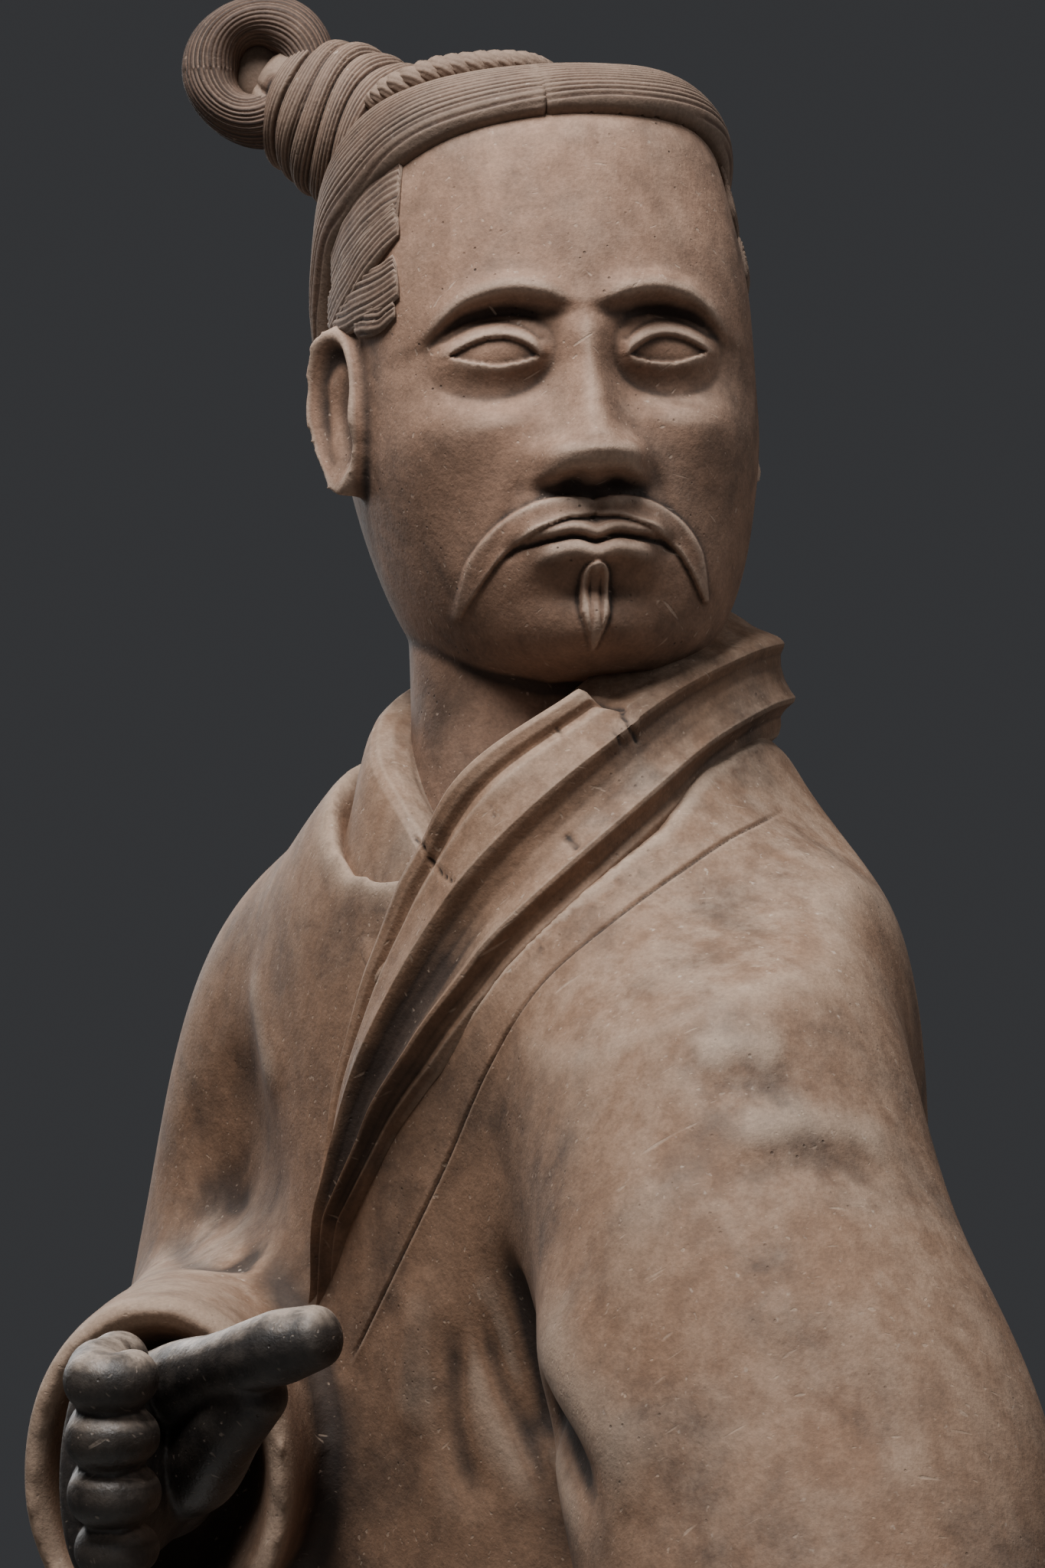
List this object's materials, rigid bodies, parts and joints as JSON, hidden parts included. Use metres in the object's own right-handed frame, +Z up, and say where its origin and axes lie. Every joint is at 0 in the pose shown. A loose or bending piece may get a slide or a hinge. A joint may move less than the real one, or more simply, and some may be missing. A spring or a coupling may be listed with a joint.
{
  "type": "standing figure statue",
  "caption": "Life-size fired clay archer standing in a long crossed robe, head turned, one arm bent, on a low rectangular plate.",
  "frame": {"origin": "centre of the footplate's underside", "axes": "+Z up, -Y the way the chest faces, +X towards the figure's left hand"},
  "size_m": [0.6339, 0.4434, 1.8059],
  "materials": {
    "plate_clay": "fired clay, unglazed, dusty",
    "robe_clay": "fired clay, unglazed, with brown patina",
    "head_clay": "fired clay, unglazed, smoothed",
    "right_hand_clay": "fired clay, blackened",
    "left_hand_clay": "fired clay, darkened"
  },
  "bodies": {
    "root": {"footplate": "plate_clay", "body": "robe_clay", "head": "head_clay", "right_hand": "right_hand_clay", "left_hand": "left_hand_clay"}
  },
  "joints": []
}
